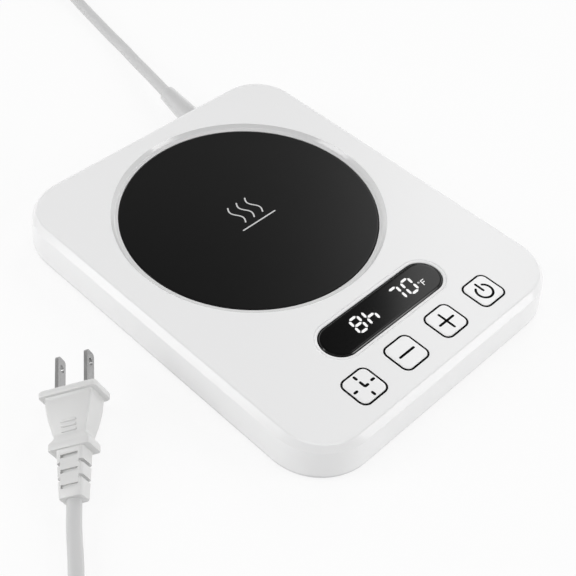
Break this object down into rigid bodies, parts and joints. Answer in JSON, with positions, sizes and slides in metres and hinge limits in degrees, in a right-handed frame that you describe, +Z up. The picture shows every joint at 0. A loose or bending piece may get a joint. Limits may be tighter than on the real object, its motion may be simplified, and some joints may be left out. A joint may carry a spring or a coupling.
{
  "type": "countertop warming mat",
  "caption": "Flat bevelled warming mat for a dough-starter jar: round recessed black glass plate, smoked display window, push keys and a mains cord with a flat two-blade plug.",
  "frame": {"origin": "middle of the housing's footprint, on the table under the feet", "axes": "+Z up, -Y towards the user at the row of keys, +Y towards the cord's exit, +X to the user's right"},
  "size_m": [0.3153, 0.3849, 0.0244],
  "materials": {
    "shell_white": "satin moulded plastic",
    "base_white": "fine-textured moulded plastic",
    "foot_rubber": "soft matte rubber",
    "screw_steel": "zinc-plated steel",
    "plate_black": "polished black glass, back-coated so that it is opaque",
    "film_orange": "polyimide heater film",
    "felt_grey": "pressed felt",
    "sheet_aluminium": "plain sheet",
    "component_amber": "epoxy-coated component",
    "lens_black": "smoked polished plastic",
    "component_black": "moulded component",
    "board_green": "coated circuit board",
    "bezel_black": "black insert",
    "key_white": "satin moulded plastic",
    "component_green": "moulded terminal block",
    "lead_white": "insulated wire",
    "lead_red": "silicone-insulated wire",
    "cord_white": "smooth soft vinyl",
    "tie_black": "soft strap",
    "plug_white": "moulded vinyl",
    "blade_nickel": "nickel-plated brass"
  },
  "bodies": {
    "housing": {"top_shell": "shell_white", "base_pan": "base_white", "rubber_feet": "foot_rubber", "case_screws": "screw_steel", "warming_plate": "plate_black", "plate_gasket": "foot_rubber", "heater_film": "film_orange", "insulation_pad": "felt_grey", "heater_retainer": "sheet_aluminium", "retainer_screws": "screw_steel", "ntc_sensor": "component_amber", "thermal_fuse": "component_amber", "display_lens": "lens_black", "led_display": "component_black", "control_board": "board_green", "board_screws": "screw_steel", "switch_bodies": "component_black", "key_bezels": "bezel_black", "power_board": "board_green", "power_board_screws": "screw_steel", "terminal_block": "component_green", "film_capacitor": "component_amber", "smoothing_capacitor": "component_black", "triac": "component_black", "mains_leads": "lead_white", "heater_leads": "lead_red", "sensor_leads": "lead_white", "board_cable": "lead_white", "cord_clamp": "base_white", "clamp_screws": "screw_steel", "strain_relief": "cord_white", "cord_out": "cord_white", "cord_coil": "cord_white", "cord_in": "cord_white", "cord_tie": "tie_black", "plug_body": "plug_white", "plug_blades": "blade_nickel"},
    "timer_key_body": {"timer_key": "key_white", "timer_plunger": "component_black"},
    "minus_key_body": {"minus_key": "key_white", "minus_plunger": "component_black"},
    "plus_key_body": {"plus_key": "key_white", "plus_plunger": "component_black"},
    "power_key_body": {"power_key": "key_white", "power_plunger": "component_black"}
  },
  "joints": [
    {"name": "timer_press", "type": "slide", "parent": "housing", "child": "timer_key_body", "axis": [0, 0, -1], "range_m": [0, 0.0003], "stiffness_N_per_m": 3000, "springref_m": -0.0001},
    {"name": "minus_press", "type": "slide", "parent": "housing", "child": "minus_key_body", "axis": [0, 0, -1], "range_m": [0, 0.0003], "stiffness_N_per_m": 3000, "springref_m": -0.0001},
    {"name": "plus_press", "type": "slide", "parent": "housing", "child": "plus_key_body", "axis": [0, 0, -1], "range_m": [0, 0.0003], "stiffness_N_per_m": 3000, "springref_m": -0.0001},
    {"name": "power_press", "type": "slide", "parent": "housing", "child": "power_key_body", "axis": [0, 0, -1], "range_m": [0, 0.0003], "stiffness_N_per_m": 3000, "springref_m": -0.0001}
  ]
}
